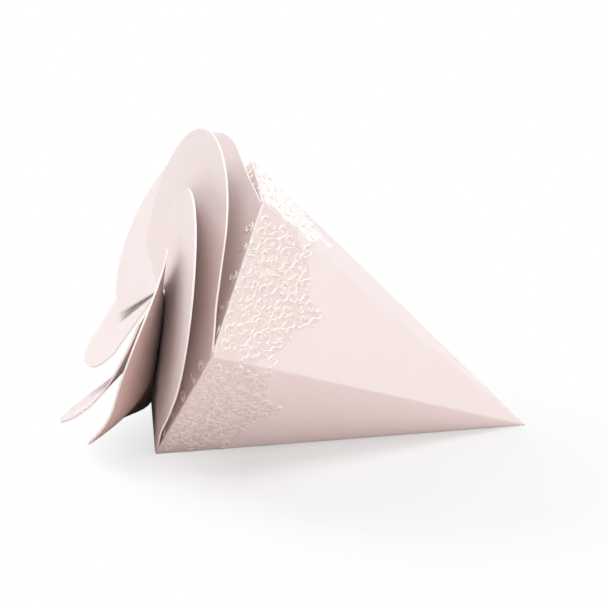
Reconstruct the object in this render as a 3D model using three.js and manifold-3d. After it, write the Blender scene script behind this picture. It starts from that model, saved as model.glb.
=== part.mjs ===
// A cone favour box: one sheet of card, folded into a six-sided pyramid that lies on one of its
// panels, and closed at the mouth by six round petals that tuck over each other in a ring.
// Millimetres, +Z up. The tip points along +X, and the mouth faces -X.

import * as THREE from 'three';
import Module from 'manifold-3d';
import { mergeVertices, toCreasedNormals } from 'three/addons/utils/BufferGeometryUtils.js';

// The card and the body
const sides = 6;
const mouthSide = 35;
const depth = 78;
const card = 0.4;

// A petal: a round lobe that stands off centre, towards the right end of its fold
const lobeRadius = 23.5;
const lobeOffset = 14.5;
const lobeReach = 32.75;
const cornerRelief = 0.8;
const petalTilt = THREE.MathUtils.degToRad(15.4);

// The notch that lets a petal pass its neighbour, and the small eye where all of them meet
const notchAngle = THREE.MathUtils.degToRad(195);
const eyeRadius = 1.2;

// How the petals lie on each other: the air between two of them, and how soon past its fold a
// petal has risen to its place in the stack
const petalGap = 0.2;
const riseLength = 9;

// How much steeper or flatter than petalTilt each petal leans past the diagonal that its
// neighbour holds, and how much it curves outwards from there, from the petal of the resting panel
// round to the last one
const petalLean = [-0.136, 0, 0.02, 0, -0.245, -0.238];
const petalCurve = [0.001, 0, 0, 0, 0.0082, 0.0063];

// The table bends the lobes that would reach below it outwards: by how much each, between which
// heights across the mouth, and up to which angle round the axis a petal feels it
const tableLift = [12, 12, 12, 12, 6, 19];
const bendTop = 12;
const bendLow = -26;
const releaseStart = THREE.MathUtils.degToRad(130);
const releaseEnd = THREE.MathUtils.degToRad(180);

// The glue flap inside the last seam
const flapWidth = 8;
const flapStart = 12;
const flapEnd = 5;
const flapTaper = 16;

// Steps of the faceted petals
const foldSteps = 8;
const neckSteps = 3;
const lobeSteps = 18;
const ringSteps = 7;

const halfSector = Math.PI / sides;
const apothem = mouthSide / (2 * Math.tan(halfSector));
const cornerRadius = mouthSide / (2 * Math.sin(halfSector));
const slant = Math.hypot(depth, apothem);
const mouthLean = Math.atan2(apothem, depth);

const cardMaterial = new THREE.MeshStandardMaterial({
  name: 'pearl_card',
  color: 0xf0dad6,
  roughness: 0.6,
  metalness: 0,
});

// A point of the mouth plane: along the fold of the resting panel, up across the mouth, and out
function fromMouth(along, up, out) {
  return new THREE.Vector3(
    -slant + up * Math.sin(mouthLean) - out * Math.cos(mouthLean),
    along,
    up * Math.cos(mouthLean) + out * Math.sin(mouthLean),
  );
}

// The same, by the distance from the mouth's axis and the angle round it from the resting panel
function aroundAxis(radius, angle, out) {
  return fromMouth(-radius * Math.sin(angle), apothem - radius * Math.cos(angle), out);
}

function toGeometry(points, triangles) {
  const geometry = new THREE.BufferGeometry();
  const numbers = points.flatMap((point) => point.toArray());
  geometry.setAttribute('position', new THREE.Float32BufferAttribute(numbers, 3));
  geometry.setIndex(triangles);
  return geometry;
}

const wasm = await Module();
wasm.setup();

function toSolid(geometry) {
  const bare = geometry.clone();
  bare.deleteAttribute('normal');
  bare.deleteAttribute('uv');
  const merged = mergeVertices(bare, 1e-5);
  return new wasm.Manifold(new wasm.Mesh({
    numProp: 3,
    vertProperties: new Float32Array(merged.attributes.position.array),
    triVerts: new Uint32Array(merged.index.array),
  }));
}

function fromSolid(solid) {
  const mesh = solid.getMesh();
  const geometry = new THREE.BufferGeometry();
  geometry.setAttribute('position', new THREE.BufferAttribute(mesh.vertProperties, 3));
  geometry.setIndex(new THREE.BufferAttribute(mesh.triVerts, 1));
  return geometry;
}

// A solid pyramid with its tip on the axis, `inset` deep, and its base `past` the mouth plane
function pyramid(inset, past) {
  const scale = (depth - inset + past) / depth;
  const tip = aroundAxis(0, 0, inset - depth);
  const points = [tip, aroundAxis(0, 0, past)];
  const triangles = [];
  for (let side = 0; side < sides; side += 1) {
    points.push(aroundAxis(cornerRadius * scale, halfSector * (2 * side + 1), past));
    const corner = 2 + side;
    const next = 2 + ((side + 1) % sides);
    triangles.push(0, next, corner, 1, corner, next);
  }
  return toSolid(toGeometry(points, triangles));
}

// The six panels: the pyramid, hollowed to the thickness of the card
function panels() {
  const inset = card / Math.sin(mouthLean);
  return pyramid(0, 0).subtract(pyramid(inset, 1));
}

// Where the side of the neck, drawn from the end of the fold, touches the round lobe. The fold lies
// half a card inside the mouth's edge, so that it bulges no further out than the panel.
function neckTouch() {
  const start = new THREE.Vector2(mouthSide / 2 - cornerRelief, card / 2);
  const toCentre = new THREE.Vector2(lobeOffset, lobeReach).sub(start);
  const length = Math.sqrt(toCentre.lengthSq() - lobeRadius ** 2);
  const turn = Math.atan2(lobeRadius, length);
  const heading = toCentre.angle() - turn;
  const touch = new THREE.Vector2(Math.cos(heading), Math.sin(heading)).multiplyScalar(length);
  return { start, touch: touch.add(start) };
}

// The angle round the axis of a point given from the middle of a fold: along it, and inwards
function angleOf(point) {
  return Math.atan2(point.x, apothem - point.y);
}

// The distance from the axis to a straight line through two such points, at an angle
function reachOfLine(from, to, angle) {
  const ray = new THREE.Vector2(Math.sin(angle), -Math.cos(angle));
  const line = to.clone().sub(from);
  const gap = from.clone().sub(new THREE.Vector2(0, apothem));
  return gap.cross(line) / ray.cross(line);
}

function reachOfLobe(angle) {
  const ray = new THREE.Vector2(Math.sin(angle), -Math.cos(angle));
  const centre = new THREE.Vector2(lobeOffset, lobeReach - apothem);
  const along = ray.dot(centre);
  return along + Math.sqrt(along ** 2 - centre.lengthSq() + lobeRadius ** 2);
}

function between(from, to, steps) {
  return Array.from({ length: steps }, (_, step) => from + ((to - from) * step) / steps);
}

// The petal's outline, as angles round the axis with the reach at each: fold, neck, lobe
function petalOutline() {
  const { start, touch } = neckTouch();
  const left = new THREE.Vector2(cornerRelief - mouthSide / 2, card / 2);
  const fold = between(angleOf(left), angleOf(start), foldSteps);
  const neck = between(angleOf(start), angleOf(touch), neckSteps);
  const lobe = between(angleOf(touch), notchAngle, lobeSteps).concat(notchAngle);
  return [
    ...fold.map((angle) => ({ angle, reach: reachOfLine(left, start, angle) })),
    ...neck.map((angle) => ({ angle, reach: reachOfLine(start, touch, angle) })),
    ...lobe.map((angle) => ({ angle, reach: reachOfLobe(angle) })),
  ];
}

// The share of its lift that a petal has, at a height across the mouth and an angle of the petal
function liftShare(up, angle) {
  const { smoothstep } = THREE.MathUtils;
  const low = 1 - smoothstep(up, bendLow, bendTop);
  const pressed = smoothstep(angle, halfSector, 2 * halfSector);
  const released = 1 - smoothstep(angle, releaseStart, releaseEnd);
  return low * pressed * released;
}

// The middle of a petal's card: it leans out from its fold, steps up over its neighbours, and
// leans a little more or less past the diagonal that the next petal holds
function petalHeight(petal, radius, angle) {
  const inwards = apothem - radius * Math.cos(angle);
  const up = apothem - radius * Math.cos(angle + 2 * halfSector * petal);
  const risen = THREE.MathUtils.smoothstep(inwards, 0, riseLength);
  const stacked = (card + petalGap) * ((angle + halfSector) / (2 * halfSector)) * risen;
  const past = Math.max(0, radius * Math.sin(angle - halfSector));
  const leaned = (petalLean[petal] + petalCurve[petal] * past) * past;
  const lifted = tableLift[petal] * liftShare(up, angle);
  return Math.tan(petalTilt) * inwards + stacked + leaned + lifted;
}

// One petal: a grid of points out from the eye on both faces of the card, closed round its edge
function petal(index) {
  const outline = petalOutline();
  const rows = ringSteps + 1;
  const halfCard = card / 2 / Math.cos(petalTilt);
  const points = [];
  const triangles = [];
  for (const face of [halfCard, -halfCard]) {
    for (const { angle, reach } of outline) {
      for (let ring = 0; ring < rows; ring += 1) {
        const radius = eyeRadius + ((reach - eyeRadius) * ring) / ringSteps;
        const out = petalHeight(index, radius, angle) + face;
        points.push(aroundAxis(radius, angle + 2 * halfSector * index, out));
      }
    }
  }
  const under = outline.length * rows;
  const quad = (a, b, c, d) => triangles.push(a, c, b, a, d, c);
  for (let spoke = 0; spoke < outline.length - 1; spoke += 1) {
    for (let ring = 0; ring < ringSteps; ring += 1) {
      const near = spoke * rows + ring;
      const far = near + rows;
      quad(near, far, far + 1, near + 1);
      quad(under + near, under + near + 1, under + far + 1, under + far);
    }
    const eye = spoke * rows;
    const rim = eye + ringSteps;
    quad(eye, under + eye, under + eye + rows, eye + rows);
    quad(rim, rim + rows, under + rim + rows, under + rim);
  }
  const last = (outline.length - 1) * rows;
  for (let ring = 0; ring < ringSteps; ring += 1) {
    quad(ring, ring + 1, under + ring + 1, under + ring);
    quad(last + ring, under + last + ring, under + last + ring + 1, last + ring + 1);
  }
  return toSolid(toGeometry(points, triangles));
}

// The glue flap: a strip along the seam, inside the panel next to the resting one
function glueFlap() {
  const seamAngle = halfSector;
  const corner = aroundAxis(cornerRadius, seamAngle, 0);
  const nextCorner = aroundAxis(cornerRadius, 3 * seamAngle, 0);
  const tip = aroundAxis(0, 0, -depth);
  const seam = corner.clone().sub(tip).normalize();
  const across = nextCorner.clone().sub(tip);
  across.addScaledVector(seam, -across.dot(seam)).normalize();
  const inwards = new THREE.Vector3().crossVectors(seam, across).normalize();
  if (inwards.dot(aroundAxis(0, 0, 0).sub(corner)) < 0) inwards.negate();
  const length = corner.distanceTo(tip);
  const place = (along, wide, deep) => tip.clone()
    .addScaledVector(seam, along)
    .addScaledVector(across, wide)
    .addScaledVector(inwards, deep);
  const ends = [
    [flapStart, 0],
    [length - flapEnd, 0],
    [length - flapEnd - flapWidth, flapWidth],
    [flapStart + flapTaper, flapWidth],
  ];
  const points = [card / 2, card * 2].flatMap((deep) => ends.map(([a, b]) => place(a, b, deep)));
  const triangles = [0, 2, 1, 0, 3, 2, 4, 5, 6, 4, 6, 7];
  const under = ends.length;
  for (let end = 0; end < under; end += 1) {
    const next = (end + 1) % under;
    triangles.push(end, next, under + next, end, under + next, under + end);
  }
  const geometry = toGeometry(points, triangles);
  return toSolid(volumeOf(geometry) < 0 ? turnedOut(geometry) : geometry);
}

function volumeOf(geometry) {
  const position = geometry.attributes.position;
  const index = geometry.index.array;
  const corner = (n) => new THREE.Vector3().fromBufferAttribute(position, index[n]);
  let volume = 0;
  for (let n = 0; n < index.length; n += 3) {
    volume += corner(n).dot(corner(n + 1).cross(corner(n + 2))) / 6;
  }
  return volume;
}

function turnedOut(geometry) {
  const index = Array.from(geometry.index.array);
  for (let n = 0; n < index.length; n += 3) {
    [index[n + 1], index[n + 2]] = [index[n + 2], index[n + 1]];
  }
  geometry.setIndex(index);
  return geometry;
}

function cardBlank() {
  let blank = panels().add(glueFlap());
  for (let index = 0; index < sides; index += 1) {
    blank = blank.add(petal(index));
  }
  const mesh = new THREE.Mesh(toCreasedNormals(fromSolid(blank), 0.3), cardMaterial);
  mesh.name = 'card_blank';
  return mesh;
}

// The origin is the middle of the box's footprint, on the table
const box = cardBlank();
const bounds = new THREE.Box3().setFromObject(box);
const middle = bounds.getCenter(new THREE.Vector3());
box.position.set(-middle.x, -middle.y, -bounds.min.z);

const group = new THREE.Group();
group.add(box);

export default group;
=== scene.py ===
# %% [markdown]
# A cone favour box: one sheet of pearly card, folded into a six-sided cone and closed by six round
# petals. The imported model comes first. It is the fixed frame: it says where the table is, where the
# tip is and how big the box is, and everything below is drawn to it.

# %% The frame
import math

import bpy
from mathutils import Matrix, Quaternion, Vector


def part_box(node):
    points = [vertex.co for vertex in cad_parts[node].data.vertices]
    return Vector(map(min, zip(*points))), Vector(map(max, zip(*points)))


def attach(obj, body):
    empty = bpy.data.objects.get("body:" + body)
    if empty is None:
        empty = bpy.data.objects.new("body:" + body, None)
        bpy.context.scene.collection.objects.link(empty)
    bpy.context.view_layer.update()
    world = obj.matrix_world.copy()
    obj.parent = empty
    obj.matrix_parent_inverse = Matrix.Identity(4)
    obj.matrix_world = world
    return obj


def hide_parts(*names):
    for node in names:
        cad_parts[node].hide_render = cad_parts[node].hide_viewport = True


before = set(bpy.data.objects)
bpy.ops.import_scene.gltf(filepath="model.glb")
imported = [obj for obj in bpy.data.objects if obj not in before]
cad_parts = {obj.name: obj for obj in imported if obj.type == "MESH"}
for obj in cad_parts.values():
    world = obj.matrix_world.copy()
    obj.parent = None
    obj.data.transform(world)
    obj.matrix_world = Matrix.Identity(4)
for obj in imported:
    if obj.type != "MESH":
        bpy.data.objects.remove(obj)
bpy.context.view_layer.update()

BODY = "root"
BLANK = "card_blank"
TIP = Vector((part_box(BLANK)[1].x, 0.0, 0.0))
print("tip at", [round(v, 4) for v in TIP])

# %% [markdown]
# The camera comes next, because it decides which details matter. It looks a little down on the box
# from the front left, through a long lens, as a catalogue photographer's does. It stands off a
# point inside the cone, and is then aimed a little up and left of it, which puts the box low and
# right in the frame. No lens shift is needed for that.

# %% The camera
MM = 0.001
IMAGE_SIDE = 608
SENSOR = 36.0
FOCAL_PIXELS = 2522.0
CAMERA_AZIMUTH = math.radians(-6.65)
CAMERA_ELEVATION = math.radians(18.53)
CAMERA_DISTANCE = 559.6 * MM
CAMERA_ROLL = math.radians(1.69)
STAND_POINT = TIP + Vector((-38.96, 0.0, 17.5)) * MM
AIM_POINT = STAND_POINT + Vector((-11.56, 4.58, 9.60)) * MM


def add_camera():
    away = Vector((
        math.sin(CAMERA_AZIMUTH) * math.cos(CAMERA_ELEVATION),
        -math.cos(CAMERA_AZIMUTH) * math.cos(CAMERA_ELEVATION),
        math.sin(CAMERA_ELEVATION),
    ))
    bpy.ops.object.camera_add(location=STAND_POINT + away * CAMERA_DISTANCE)
    camera = bpy.context.object
    camera.name = "photographer"
    turn = (AIM_POINT - camera.location).to_track_quat("-Z", "Y")
    camera.rotation_mode = "QUATERNION"
    camera.rotation_quaternion = turn @ Quaternion((0, 0, 1), CAMERA_ROLL)
    camera.data.sensor_width = SENSOR
    camera.data.lens = FOCAL_PIXELS * SENSOR / IMAGE_SIDE
    camera.data.clip_start = 0.01
    camera.data.clip_end = 20
    bpy.context.scene.camera = camera
    return camera


camera = add_camera()
print("camera lens:", round(camera.data.lens, 1), "mm")

# %% [markdown]
# The box's own sizes follow. They are the real ones: a mouth of six sides of 35 mm, a cone 78 mm
# deep, and card 0.4 mm thick. Every place on the box is easiest to give from the mouth: how far
# along the table, how far up across the mouth, and how far out of it. One function turns that into
# a place in the room.

# %% Sizes and the mouth
SIDES = 6
MOUTH_SIDE = 35 * MM
DEPTH = 78 * MM
CARD = 0.4 * MM

HALF_SECTOR = math.pi / SIDES
APOTHEM = MOUTH_SIDE / (2 * math.tan(HALF_SECTOR))
CORNER_RADIUS = MOUTH_SIDE / (2 * math.sin(HALF_SECTOR))
SLANT = math.hypot(DEPTH, APOTHEM)
MOUTH_LEAN = math.atan2(APOTHEM, DEPTH)

AXIS_X = TIP.x - SLANT


def from_mouth(along, up, out):
    """A place in the room, from the middle of the mouth's lowest side."""
    x = AXIS_X + up * math.sin(MOUTH_LEAN) - out * math.cos(MOUTH_LEAN)
    z = up * math.cos(MOUTH_LEAN) + out * math.sin(MOUTH_LEAN)
    return Vector((x, along, z))


def around_axis(radius, angle, out):
    """The same, by the distance from the mouth's axis and the angle round it from the table."""
    return from_mouth(-radius * math.sin(angle), APOTHEM - radius * math.cos(angle), out)


OUTWARDS = (around_axis(0, 0, DEPTH) - around_axis(0, 0, 0)).normalized()
print("the mouth leans", round(math.degrees(MOUTH_LEAN), 1), "degrees off upright")

# %% [markdown]
# Most of Blender's operators act on whatever is selected, so each step starts by selecting one
# thing. These helpers keep that out of the way, and say once what is the same for every piece.

# %% Helpers for operators
# Edges that bend by less than this many degrees are shaded smooth.
CARD_SMOOTHING = 40
LACE_SMOOTHING = 50


def select_only(piece):
    bpy.ops.object.select_all(action="DESELECT")
    piece.select_set(True)
    bpy.context.view_layer.objects.active = piece


def apply_modifier(piece, kind, **settings):
    """Adds a modifier with its settings and applies it."""
    select_only(piece)
    modifier = piece.modifiers.new(kind.title(), kind)
    for name, value in settings.items():
        setattr(modifier, name, value)
    bpy.ops.object.modifier_apply(modifier=modifier.name)


def keep_off_the_table(piece):
    """Presses flat what would reach below the table."""
    for vertex in piece.data.vertices:
        vertex.co.z = max(vertex.co.z, 0.0)


def smooth(piece, degrees):
    select_only(piece)
    bpy.ops.object.shade_smooth_by_angle(angle=math.radians(degrees))


def is_part_of_the_box(piece, *finishes):
    """The piece rides on the box and has the card's finishes."""
    for finish in finishes:
        piece.data.materials.append(finish)
    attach(piece, BODY)


# %% [markdown]
# The card is pearl-finished folding card: paper board with a thin coat of mica on the outside. The
# board gives a soft pale pink and a very fine tooth; the mica gives a broad, weak shine that
# bleaches the colour where the light comes in flat. So the material is a rough diffuse pink with a
# fine grain in its bump, a faint mottle in its colour, and a thin satin coat. One recipe serves for
# all five finishes, which differ in colour and grain: the inside of the card is painted a duller,
# darker rose as painted shade, which keeps the hollows between the petals dark, its cut edges show
# the white of the board, and the die leaves the strokes of the lace paler and smoother and the
# ground between them a shade deeper.

# %% Material helpers


def linear(hex_colour):
    """Turns an sRGB hex colour into the linear values that shaders take."""
    channels = [int(hex_colour[i:i + 2], 16) / 255 for i in (1, 3, 5)]
    return tuple(c / 12.92 if c <= 0.04045 else ((c + 0.055) / 1.055) ** 2.4 for c in channels) + (1,)


def add_node(tree, kind, links=(), **settings):
    """Adds a shader node; settings fill its properties or sockets, links join its inputs."""
    node = tree.nodes.new(kind)
    for name, value in settings.items():
        if hasattr(node, name):
            setattr(node, name, value)
        else:
            node.inputs[name.replace("_", " ")].default_value = value
    for socket, source in links:
        tree.links.new(source, node.inputs[socket])
    return node


def empty_material(name):
    material = bpy.data.materials.new(name)
    material.use_nodes = True
    material.node_tree.nodes.clear()
    return material, material.node_tree


print("pure white in linear values:", linear("#FFFFFF"))

# %% Pearl card
# Real sizes of the pattern: the tooth of the board is about 0.35 mm wide, drawn at 0.5 mm so that it
# shows, and the mottle of the pulp is a few millimetres wide.
TOOTH = 0.5 * MM
MOTTLE = 4 * MM
TOOTH_DEPTH = 0.008 * MM
EMBOSSED_DEPTH = 0.006 * MM


def pearl_card(name, colour, mottled, tooth_depth):
    material, tree = empty_material(name)
    place = add_node(tree, "ShaderNodeTexCoord").outputs["Object"]
    mottle = add_node(tree, "ShaderNodeTexNoise", [("Vector", place)], Scale=1 / MOTTLE, Detail=3.0)
    tooth = add_node(tree, "ShaderNodeTexNoise", [("Vector", place)], Scale=1 / TOOTH, Detail=4.0)
    shade = add_node(tree, "ShaderNodeMix", [("Factor", mottle.outputs["Fac"])], data_type="RGBA")
    shade.inputs["A"].default_value = linear(colour)
    shade.inputs["B"].default_value = linear(mottled)
    grain = add_node(
        tree, "ShaderNodeBump", [("Height", tooth.outputs["Fac"])],
        Strength=1.0, Distance=tooth_depth,
    )
    surface = add_node(
        tree, "ShaderNodeBsdfPrincipled",
        [("Base Color", shade.outputs["Result"]), ("Normal", grain.outputs["Normal"])],
        Roughness=0.55, IOR=1.5, Coat_Weight=0.25, Coat_Roughness=0.35,
        Sheen_Weight=0.15, Sheen_Roughness=0.4,
    )
    add_node(tree, "ShaderNodeOutputMaterial", [("Surface", surface.outputs["BSDF"])])
    return material


card_finish = pearl_card("pearl_card_pink", "#EEE4E3", "#EBDEDD", TOOTH_DEPTH)
lace_finish = pearl_card("pearl_card_embossed", "#F8F1EE", "#F3EAE6", EMBOSSED_DEPTH)
ground_finish = pearl_card("pearl_card_burnished", "#E8DBD8", "#E3D4D0", TOOTH_DEPTH)
# The inside is painted a darker rose than the card: painted shade, which keeps the hollow between the
# lowest petals dark.
shaded_inside_finish = pearl_card("inside_of_the_card_in_painted_shade", "#CFB2AA", "#C8A9A0", TOOTH_DEPTH)
edge_finish = pearl_card("cut_edge_of_white_board", "#F6EEEB", "#F1E7E3", TOOTH_DEPTH)
FINISHES = [card_finish, edge_finish, shaded_inside_finish]
RIM = 1
# The slot of the inside finish, whose darker rose is painted shade.
INSIDE = 2
print("materials:", [material.name for material in [*FINISHES, lace_finish, ground_finish]])

# %% [markdown]
# The cone is six flat triangles of one sheet. It starts as a six-sided cone with no base, turned on
# its side so that one panel lies on the table. The folds of real card are never knife-sharp: they
# are creased first and then bend round a radius of about the card's thickness, which catches a thin
# line of light. A bevel on the six folds gives that. It also cuts the tip off, so the points round
# the tip are drawn back to where it was. Solidify gives the wall its thickness on the inside.

# %% The cone
FOLD_RADIUS = 0.35 * MM
FOLD_SEGMENTS = 4
# Points up to TIP_REACH times as far from the tip as the nearest one are drawn back to it, to
# TIP_BLUNTNESS of their distance.
TIP_REACH = 1.6
TIP_BLUNTNESS = 0.2


def add_cone():
    bpy.ops.object.select_all(action="DESELECT")
    bpy.ops.mesh.primitive_cone_add(
        vertices=SIDES, radius1=CORNER_RADIUS, radius2=0, depth=DEPTH, end_fill_type="NOTHING")
    cone = bpy.context.object
    cone.name = "cone_panels"
    base = [v for v in cone.data.vertices if v.co.z < 0]
    apex = max(cone.data.vertices, key=lambda v: v.co.z)
    base.sort(key=lambda v: math.atan2(v.co.y, v.co.x))
    apex.co = TIP
    for corner, vertex in enumerate(base):
        vertex.co = around_axis(CORNER_RADIUS, HALF_SECTOR * (2 * corner + 1), 0)
    return cone


def fold_edges(cone):
    """Selects the six folds that run to the tip, rounds them, and draws the tip together again."""
    bpy.context.tool_settings.mesh_select_mode = (False, True, False)
    mesh = cone.data
    for edge in mesh.edges:
        ends = [mesh.vertices[i].co for i in edge.vertices]
        edge.select = any((end - TIP).length < CARD for end in ends)
    select_only(cone)
    bpy.ops.object.mode_set(mode="EDIT")
    bpy.ops.mesh.bevel(offset=FOLD_RADIUS, segments=FOLD_SEGMENTS, affect="EDGES")
    bpy.ops.mesh.select_all(action="SELECT")
    bpy.ops.mesh.normals_make_consistent(inside=False)
    bpy.ops.object.mode_set(mode="OBJECT")
    nearest = min((v.co - TIP).length for v in cone.data.vertices)
    for vertex in cone.data.vertices:
        if (vertex.co - TIP).length < TIP_REACH * nearest:
            vertex.co = TIP + (vertex.co - TIP) * TIP_BLUNTNESS


cone = add_cone()
fold_edges(cone)
is_part_of_the_box(cone, *FINISHES)
apply_modifier(
    cone, "SOLIDIFY", thickness=CARD, offset=-1,
    material_offset=INSIDE, material_offset_rim=RIM)
keep_off_the_table(cone)
smooth(cone, CARD_SMOOTHING)
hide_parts(BLANK)
print("cone faces:", len(cone.data.polygons))

# %% [markdown]
# A petal is a round lobe, joined to its panel by a wide neck, and cut away on its left so that it
# can pass its neighbour. All six are the same. Closed, each leans out about 15 degrees from its
# fold and lies over the next one, all the way round. The sheet is drawn as a grid, because a grid
# is what bends well: its columns become spokes round the mouth's axis and its rows become rings.

# %% The petal's outline
LOBE_RADIUS = 23.44 * MM
LOBE_OFFSET = 14.5 * MM
LOBE_REACH = 32.75 * MM
CORNER_RELIEF = 0.8 * MM
NOTCH_ANGLE = math.radians(195)
EYE_RADIUS = 1.2 * MM


def neck_touch():
    """The end of the fold, and where the neck's side from there touches the lobe."""
    start = Vector((MOUTH_SIDE / 2 - CORNER_RELIEF, CARD / 2))
    to_centre = Vector((LOBE_OFFSET, LOBE_REACH)) - start
    length = math.sqrt(to_centre.length_squared - LOBE_RADIUS ** 2)
    heading = math.atan2(to_centre.y, to_centre.x) - math.atan2(LOBE_RADIUS, length)
    return start, start + Vector((math.cos(heading), math.sin(heading))) * length


def angle_of(point):
    """The angle of a flat point round the mouth's axis."""
    return math.atan2(point.x, APOTHEM - point.y)


def reach_of_line(start, end, angle):
    """How far out from the axis a ray at that angle meets a straight edge."""
    ray = Vector((math.sin(angle), -math.cos(angle)))
    line = end - start
    gap = start - Vector((0, APOTHEM))
    return gap.cross(line) / ray.cross(line)


def reach_of_lobe(angle):
    """How far out from the axis such a ray leaves the round lobe."""
    ray = Vector((math.sin(angle), -math.cos(angle)))
    centre = Vector((LOBE_OFFSET, LOBE_REACH - APOTHEM))
    along = ray.dot(centre)
    return along + math.sqrt(along ** 2 - centre.length_squared + LOBE_RADIUS ** 2)


NECK_START, NECK_END = neck_touch()
FOLD_START = Vector((-NECK_START.x, NECK_START.y))


def petal_reach(angle):
    """How far the petal reaches from the mouth's axis, at an angle."""
    if angle <= angle_of(NECK_START):
        return reach_of_line(FOLD_START, NECK_START, angle)
    if angle <= angle_of(NECK_END):
        return reach_of_line(NECK_START, NECK_END, angle)
    return reach_of_lobe(angle)


print("petal spans", round(math.degrees(NOTCH_ANGLE - angle_of(FOLD_START))), "degrees")

# %% [markdown]
# The petals' heights are what makes the ring of overlaps work. Each one rises evenly from its fold,
# and on top of that climbs one step, a card and a little air, for each neighbour that it passes.
# Two small things make it look like card and not like a fan: the petals don't all lean quite alike,
# and the lobes nearest the table are bent outwards by it.

# %% The petal's height
PETAL_TILT = math.radians(15.4)
PETAL_GAP = 0.2 * MM
RISE_LENGTH = 9 * MM
PETAL_LEAN = [-0.136, 0, 0.02, 0, -0.245, -0.238]        # climb past the corner
PETAL_CURVE = [1.0, 0, 0, 0, 8.2, 6.3]                   # its growth per metre
TABLE_LIFT = [12 * MM, 12 * MM, 12 * MM, 12 * MM, 6 * MM, 19 * MM]
BEND_TOP = 12 * MM
BEND_LOW = -26 * MM
RELEASE_START = math.radians(130)
RELEASE_END = math.radians(180)


def ease(value, low, high):
    """Goes smoothly from 0 at the low value to 1 at the high one."""
    share = min(1, max(0, (value - low) / (high - low)))
    return share * share * (3 - 2 * share)


def lift_share(up, angle):
    """The share of its lift that the table gives a petal there."""
    low = 1 - ease(up, BEND_LOW, BEND_TOP)
    pressed = ease(angle, HALF_SECTOR, 2 * HALF_SECTOR)
    released = 1 - ease(angle, RELEASE_START, RELEASE_END)
    return low * pressed * released


def petal_height(petal, radius, angle):
    """The middle of the card, out from the mouth."""
    inwards = APOTHEM - radius * math.cos(angle)
    up = APOTHEM - radius * math.cos(angle + 2 * HALF_SECTOR * petal)
    steps = (angle + HALF_SECTOR) / (2 * HALF_SECTOR)
    stacked = (CARD + PETAL_GAP) * steps * ease(inwards, 0, RISE_LENGTH)
    past = max(0, radius * math.sin(angle - HALF_SECTOR))
    lean = (PETAL_LEAN[petal] + PETAL_CURVE[petal] * past) * past
    lift = TABLE_LIFT[petal] * lift_share(up, angle)
    return math.tan(PETAL_TILT) * inwards + stacked + lean + lift


def on_petal(petal, radius, angle, out=0):
    """A place on a petal, or that far out from it."""
    height = petal_height(petal, radius, angle) + out
    return around_axis(radius, angle + 2 * HALF_SECTOR * petal, height)


print("at its eye a petal is", round(petal_height(1, EYE_RADIUS, 0) / MM, 1), "mm out of the mouth")

# %% The six petals
SPOKES = 96
FOLD_SPOKES = 22
NECK_SPOKES = 10
RINGS = 26
ROUNDING = 1e-6


def spoke_angle(share):
    """Spokes are spread by share, with one exactly at each corner of the outline."""
    stops = [angle_of(FOLD_START), angle_of(NECK_START), angle_of(NECK_END), NOTCH_ANGLE]
    marks = [0, FOLD_SPOKES / SPOKES, (FOLD_SPOKES + NECK_SPOKES) / SPOKES, 1]
    for low, high, start, end in zip(marks, marks[1:], stops, stops[1:]):
        if share <= high + ROUNDING:
            return start + (end - start) * (share - low) / (high - low)
    return NOTCH_ANGLE


def add_petal(index):
    bpy.ops.object.select_all(action="DESELECT")
    bpy.ops.mesh.primitive_grid_add(x_subdivisions=SPOKES, y_subdivisions=RINGS, size=1)
    petal = bpy.context.object
    petal.name = f"petal_{index + 1}"
    for vertex in petal.data.vertices:
        angle = spoke_angle(vertex.co.x + 0.5)
        reach = petal_reach(angle)
        radius = EYE_RADIUS + (reach - EYE_RADIUS) * (vertex.co.y + 0.5)
        vertex.co = on_petal(index, radius, angle)
    if petal.data.polygons[0].normal.dot(OUTWARDS) < 0:
        petal.data.flip_normals()
    is_part_of_the_box(petal, *FINISHES)
    apply_modifier(
        petal, "SOLIDIFY", thickness=CARD, offset=0,
        material_offset=INSIDE, material_offset_rim=RIM)
    keep_off_the_table(petal)
    smooth(petal, CARD_SMOOTHING)
    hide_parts(BLANK)
    return petal


petals = [add_petal(index) for index in range(SIDES)]
print("petals:", len(petals), "faces each:", len(petals[0].data.polygons))

# %% [markdown]
# The band of lace beside the mouth is embossed: a die pushes thin scrolls up out of the card, less
# than 0.5 mm wide, so close that they leave hardly any plain card between them. A scroll turns evenly
# from step to step while its steps get shorter towards the ends, which is what makes it curl in.
# If both ends turn the same way it is a C, if they turn opposite ways it is an S, and if only one
# end turns it is a crook. These and a short grain, modelled once each, are copied over the panels.
# They have few faces, because there are hundreds of them: a stroke is a ridge with two flanks.

# %% Scroll strokes
STROKE = 0.46 * MM
RELIEF = 0.3 * MM
END_FULLNESS = 1.3
BODY_FULLNESS = 0.9
SCROLL_STEPS = 16
END_STEP = 0.2


def scroll_path(length, turns_start, turns_end):
    """Points of a stroke whose two halves turn by so many turns each."""
    shares = [2 * (step + 0.5) / SCROLL_STEPS - 1 for step in range(SCROLL_STEPS)]
    parts = [1 - (1 - END_STEP) * abs(share) for share in shares]
    point = Vector((0, 0, 0))
    heading = 0.0
    points = [point]
    for share, part in zip(shares, parts):
        heading += (turns_start if share < 0 else turns_end) * 4 * math.pi / SCROLL_STEPS
        point = point + Vector((math.cos(heading), math.sin(heading), 0)) * length * part / sum(parts)
        points.append(point)
    middle = sum(points, Vector((0, 0, 0))) / len(points)
    return [point - middle for point in points]


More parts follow.
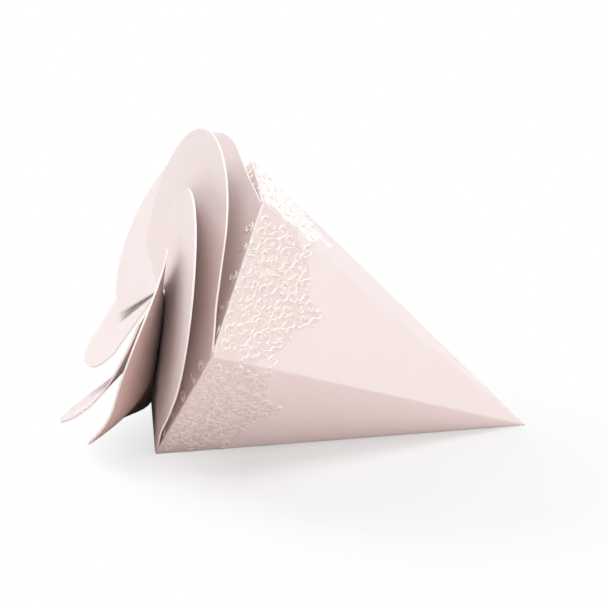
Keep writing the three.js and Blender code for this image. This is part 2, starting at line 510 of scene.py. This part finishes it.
def add_stroke(name, points):
    """A raised stroke along the points, with a fuller end where it curls in."""
    bpy.ops.object.select_all(action="DESELECT")
    bpy.ops.curve.primitive_nurbs_path_add()
    stroke = bpy.context.object
    stroke.name = name
    curve = stroke.data
    curve.splines.clear()
    spline = curve.splines.new("POLY")
    last = len(points) - 1
    spline.points.add(last)
    for number, (target, point) in enumerate(zip(spline.points, points)):
        target.co = (*point, 1)
        target.radius = END_FULLNESS if number in (0, last) else BODY_FULLNESS
    curve.dimensions = "3D"
    curve.bevel_depth = STROKE / 2
    curve.bevel_resolution = 0
    curve.use_fill_caps = True
    select_only(stroke)
    bpy.ops.object.convert(target="MESH")
    stroke = bpy.context.object
    for vertex in stroke.data.vertices:
        vertex.co.z *= RELIEF / (STROKE / 2)
    stroke.data.materials.append(lace_finish)
    return stroke


# Each scroll has its length and the turns of its two halves; the grain keeps every fourth point.
STROKES = [
    add_stroke("stroke_c", scroll_path(8.0 * MM, 0.85, 0.85)),
    add_stroke("stroke_s", scroll_path(8.4 * MM, -0.85, 0.85)),
    add_stroke("stroke_crook", scroll_path(5.6 * MM, 0.15, 1.05)),
    add_stroke("stroke_grain", scroll_path(1.3 * MM, 0.05, 0.05)[::4]),
]
C_SCROLL, S_SCROLL, CROOK, GRAIN = range(4)
print("stroke faces:", [len(stroke.data.polygons) for stroke in STROKES])

# %% [markdown]
# The strokes are set out in rows that follow the fold, mirrored about the middle of the panel, as
# a lace maker's are. The band's edge is scalloped: it reaches furthest in the middle of a panel and
# least at its folds. Neighbouring strokes are turned against each other so that they interlock, and
# a grain fills the corner between four of them. A few curls run on over the fold onto the petal.
# The die also burnishes the card between the strokes, so a film of the burnished finish lies under
# them, out to the scalloped edge. The panel that the box lies on has its lace pressed flat.

# %% Laying out the lace
ROW_STEP = 2.4 * MM
COLUMN_STEP = 2.75 * MM
FIRST_ROW = 2.0 * MM
STROKE_ORDER = [C_SCROLL, S_SCROLL, CROOK, S_SCROLL, C_SCROLL]
# The turns are in degrees.
FIRST_TURN = 40
NEXT_TURN = 90
EXTRA_TURN = 25
BAND_AT_FOLDS = 11 * MM
BAND_IN_MIDDLE = 20 * MM
SCALLOP = 1.5 * MM
SCALLOPS = 3
PANEL_MARGIN = 2.0 * MM


def panel_matrix(side):
    """The frame of a panel: across it, towards the tip, and out of it."""
    middle = around_axis(APOTHEM, 2 * HALF_SECTOR * side, 0)
    to_tip = (TIP - middle).normalized()
    corners = [(2 * side - 1) * HALF_SECTOR, (2 * side + 1) * HALF_SECTOR]
    ends = [around_axis(CORNER_RADIUS, corner, 0) for corner in corners]
    across = (ends[1] - ends[0]).normalized()
    out = across.cross(to_tip)
    if out.dot(middle - around_axis(0, 0, 0)) < 0:
        out.negate()
        across.negate()
    return Matrix.Translation(middle) @ Matrix((across, to_tip, out)).transposed().to_4x4()


def band_reach(along):
    """How far the band reaches from the fold, at a place along it."""
    share = along / MOUTH_SIDE
    hump = math.cos(math.pi * share) ** 2
    waves = SCALLOP * math.cos(2 * math.pi * share * SCALLOPS)
    return BAND_AT_FOLDS + (BAND_IN_MIDDLE - BAND_AT_FOLDS) * hump + waves


def half_width(back):
    """Half the width that the lace may take up, so far back from the fold."""
    return MOUTH_SIDE / 2 * (1 - back / SLANT) - PANEL_MARGIN


def lace_places():
    """Yields each stroke of half a panel: its kind, its place across and back, and its turn."""
    row = 0
    back = FIRST_ROW
    while back < BAND_IN_MIDDLE + SCALLOP:
        column = 0
        along = (row % 2) * COLUMN_STEP / 2
        while along < half_width(back):
            if back < band_reach(along):
                kind = STROKE_ORDER[(2 * row + column) % len(STROKE_ORDER)]
                turned = NEXT_TURN * ((row + column) % 2) + EXTRA_TURN * ((row * column) % 3)
                turn = math.radians(FIRST_TURN + turned)
                yield kind, along, back, turn
                yield GRAIN, along + COLUMN_STEP / 2, back, turn
            column += 1
            along += COLUMN_STEP
        row += 1
        back += ROW_STEP


print("places for strokes on half a panel:", len(list(lace_places())))

# %% Copying the strokes
GROUND_COLUMNS = 48
GROUND_ROWS = 6
GROUND_MARGIN = 0.4 * MM
GROUND_HEIGHT = 0.012 * MM
PRESSED_FLAT = 0.04
RESTING_PANEL = 0


def copy_stroke(kind, matrix, mirror):
    """A copy of a stroke, put in place; a mirrored one has its faces turned out again."""
    copy = STROKES[kind].copy()
    copy.data = STROKES[kind].data.copy()
    bpy.context.collection.objects.link(copy)
    copy.data.transform(matrix @ Matrix.Diagonal((mirror, 1, 1, 1)))
    if mirror < 0:
        copy.data.flip_normals()
    return copy


def add_ground(side):
    """The burnished ground of the band: a film on the panel, out to the scalloped edge."""
    bpy.ops.object.select_all(action="DESELECT")
    bpy.ops.mesh.primitive_grid_add(
        x_subdivisions=GROUND_COLUMNS, y_subdivisions=GROUND_ROWS, size=1)
    ground = bpy.context.object
    matrix = panel_matrix(side)
    for vertex in ground.data.vertices:
        along = 2 * vertex.co.x * (half_width(0) + PANEL_MARGIN - GROUND_MARGIN)
        back = (vertex.co.y + 0.5) * (band_reach(along) + GROUND_MARGIN)
        along *= 1 - back / SLANT
        vertex.co = matrix @ Vector((along, back + GROUND_MARGIN, GROUND_HEIGHT))
    ground.data.materials.append(ground_finish)
    return ground


def panel_strokes(side):
    """The ground of a panel's band, and its strokes and their mirror images."""
    frame_of_panel = panel_matrix(side)
    if side == RESTING_PANEL:
        frame_of_panel = frame_of_panel @ Matrix.Diagonal((1, 1, PRESSED_FLAT, 1))
    copies = [add_ground(side)]
    for kind, along, back, turn in lace_places():
        for mirror in ((1,) if along == 0 else (1, -1)):
            place = Matrix.Translation((mirror * along, back, 0))
            spin = Matrix.Rotation(mirror * turn, 4, "Z")
            copies.append(copy_stroke(kind, frame_of_panel @ place @ spin, mirror))
    return copies


print("strokes on a panel:", sum(2 if along > 0 else 1 for _, along, _, _ in lace_places()))

# %% Curls on the petals
CURL_PLACES = [-11.5 * MM, -6 * MM, 0.5 * MM, 7 * MM, 12 * MM]
CURL_INWARDS = 2.0 * MM
CURL_TURN = 75
# Steps on the petal that give its slope, one in length and one in radians.
STEP_INWARDS = 0.5 * MM
STEP_ROUND = 0.02


def petal_strokes(index):
    """Curls on the outside of a petal, beside its fold; two short steps give the card's slope."""
    copies = []
    for number, along in enumerate(CURL_PLACES):
        angle = math.atan2(along, APOTHEM - CURL_INWARDS)
        radius = math.hypot(along, APOTHEM - CURL_INWARDS)
        middle = on_petal(index, radius, angle, CARD / 2)
        ahead = on_petal(index, radius - STEP_INWARDS, angle, CARD / 2)
        aside = on_petal(index, radius, angle + STEP_ROUND, CARD / 2)
        across = (aside - middle).normalized()
        out = across.cross(ahead - middle).normalized()
        if out.dot(OUTWARDS) < 0:
            out.negate()
        turned = Matrix((across, out.cross(across), out)).transposed().to_4x4()
        spin = Matrix.Rotation(math.radians(CURL_TURN * number), 4, "Z")
        place = Matrix.Translation(middle) @ turned @ spin
        copies.append(copy_stroke((C_SCROLL, CROOK)[number % 2], place, 1))
    return copies


def add_lace(side):
    """All the lace of a panel and its petal, joined into one piece."""
    copies = panel_strokes(side)
    if side != RESTING_PANEL:
        copies += petal_strokes(side)
    bpy.ops.object.select_all(action="DESELECT")
    for copy in copies:
        copy.select_set(True)
    bpy.context.view_layer.objects.active = copies[-1]
    bpy.ops.object.join()
    lace = bpy.context.object
    lace.name = f"lace_{side + 1}"
    is_part_of_the_box(lace)
    keep_off_the_table(lace)
    smooth(lace, LACE_SMOOTHING)
    return lace


laces = [add_lace(side) for side in range(SIDES)]
for stroke in STROKES:
    bpy.data.objects.remove(stroke)
print("lace:", len(laces), "bands, faces each:", len(laces[0].data.polygons))

# %% [markdown]
# The box lies on a plain white table in a bright studio, and in a catalogue picture both the table
# and the room behind it come out pure white. So the camera sees the world as white, and sees the
# table as partly lit and partly white of its own accord, wholly so away from the box, which keeps
# the shadow as pale and as small as a printer would. The light that the table sends back is faintly
# pink, because the shaded panel is pinker in the picture than the card alone would make it.

# %% The table
TABLE_SIZE = 4
TABLE_SEEN = "#DDDDDD"
TABLE_LIGHTING_THE_BOX = "#F2E7E4"
TABLE_WHITENESS = 0.3
SHADOW_MIDDLE = Vector((22, -28, 0)) * MM
SHADOW_FADES = 34 * MM
SHADOW_ENDS = 72 * MM


def add_floor():
    bpy.ops.object.select_all(action="DESELECT")
    bpy.ops.mesh.primitive_plane_add(size=TABLE_SIZE, location=(0, 0, 0))
    floor = bpy.context.object
    floor.name = "table"
    material, tree = empty_material("white_table")
    place = add_node(tree, "ShaderNodeTexCoord").outputs["Object"]
    away = add_node(tree, "ShaderNodeVectorMath", [(0, place)], operation="DISTANCE")
    away.inputs[1].default_value = SHADOW_MIDDLE
    fade = add_node(
        tree, "ShaderNodeMapRange", [("Value", away.outputs["Value"])],
        From_Min=SHADOW_FADES, From_Max=SHADOW_ENDS, To_Min=TABLE_WHITENESS, To_Max=1.0,
    )
    path = add_node(tree, "ShaderNodeLightPath")
    seen_paint = add_node(tree, "ShaderNodeBsdfDiffuse", Color=linear(TABLE_SEEN))
    lit_paint = add_node(tree, "ShaderNodeBsdfDiffuse", Color=linear(TABLE_LIGHTING_THE_BOX))
    white = add_node(tree, "ShaderNodeEmission", Color=(1, 1, 1, 1), Strength=1.0)
    seen = add_node(
        tree, "ShaderNodeMixShader",
        [(0, fade.outputs["Result"]), (1, seen_paint.outputs[0]), (2, white.outputs[0])])
    mixed = add_node(
        tree, "ShaderNodeMixShader",
        [(0, path.outputs["Is Camera Ray"]), (1, lit_paint.outputs[0]), (2, seen.outputs[0])])
    add_node(tree, "ShaderNodeOutputMaterial", [("Surface", mixed.outputs[0])])
    floor.data.materials.append(material)


add_floor()
print("the table starts to fade to white", round(SHADOW_FADES / MM), "mm from the shadow's middle")

# %% [markdown]
# The lamps are large and soft. The main one hangs high and a little in front, so that the upper
# panel and the petals' outsides are bright and the lower panel has mostly what the table sends
# back. One at the right lifts the upper panel, and a weaker one stands back left and rims the
# petals. The light of the room comes mostly from above too, and little from the horizon, so that
# the hollow between the lowest petals stays dark.

# %% The room and the lamps
ROOM_LIGHT = 0.58
HORIZON_SHARE = 0.12
SKY_IS_FULL_AT = 0.8


def add_world(strength):
    world = bpy.data.worlds.new("studio")
    bpy.context.scene.world = world
    world.use_nodes = True
    tree = world.node_tree
    tree.nodes.clear()
    path = add_node(tree, "ShaderNodeLightPath")
    seen_or_mirrored = add_node(
        tree, "ShaderNodeMath", operation="MAXIMUM",
        links=[(0, path.outputs["Is Camera Ray"]), (1, path.outputs["Is Glossy Ray"])])
    seen = add_node(
        tree, "ShaderNodeMath", operation="MAXIMUM",
        links=[(0, seen_or_mirrored.outputs[0]), (1, path.outputs["Is Transmission Ray"])])
    direction = add_node(tree, "ShaderNodeTexCoord").outputs["Generated"]
    height = add_node(tree, "ShaderNodeSeparateXYZ", [("Vector", direction)])
    sky = add_node(
        tree, "ShaderNodeMapRange", [("Value", height.outputs["Z"])],
        From_Min=0.0, From_Max=SKY_IS_FULL_AT,
        To_Min=strength * HORIZON_SHARE, To_Max=strength,
    )
    light = add_node(
        tree, "ShaderNodeBackground", [("Strength", sky.outputs["Result"])], Color=(1, 1, 1, 1))
    white = add_node(tree, "ShaderNodeBackground", Color=(1, 1, 1, 1), Strength=1.0)
    mixed = add_node(
        tree, "ShaderNodeMixShader",
        [(0, seen.outputs[0]), (1, light.outputs[0]), (2, white.outputs[0])])
    add_node(tree, "ShaderNodeOutputWorld", [("Surface", mixed.outputs[0])])


def add_lamp(name, place, size, power):
    """A square lamp, aimed at the box; its place and size are in metres, its power in watts."""
    bpy.ops.object.light_add(type="AREA", location=place)
    lamp = bpy.context.object
    lamp.name = name
    lamp.data.size = size
    lamp.data.energy = power
    lamp.rotation_mode = "QUATERNION"
    lamp.rotation_quaternion = (-Vector(place)).to_track_quat("-Z", "Y")


add_world(ROOM_LIGHT)
add_lamp("high_lamp", place=(-0.25, -0.15, 0.95), size=0.45, power=4.1)
add_lamp("right_lamp", place=(0.5, -0.5, 0.75), size=0.4, power=4.2)
add_lamp("back_left_lamp", place=(-0.6, 0.4, 0.7), size=0.5, power=2.7)
bpy.context.scene.view_settings.view_transform = "Standard"
print("three lamps, and a room of strength", ROOM_LIGHT)
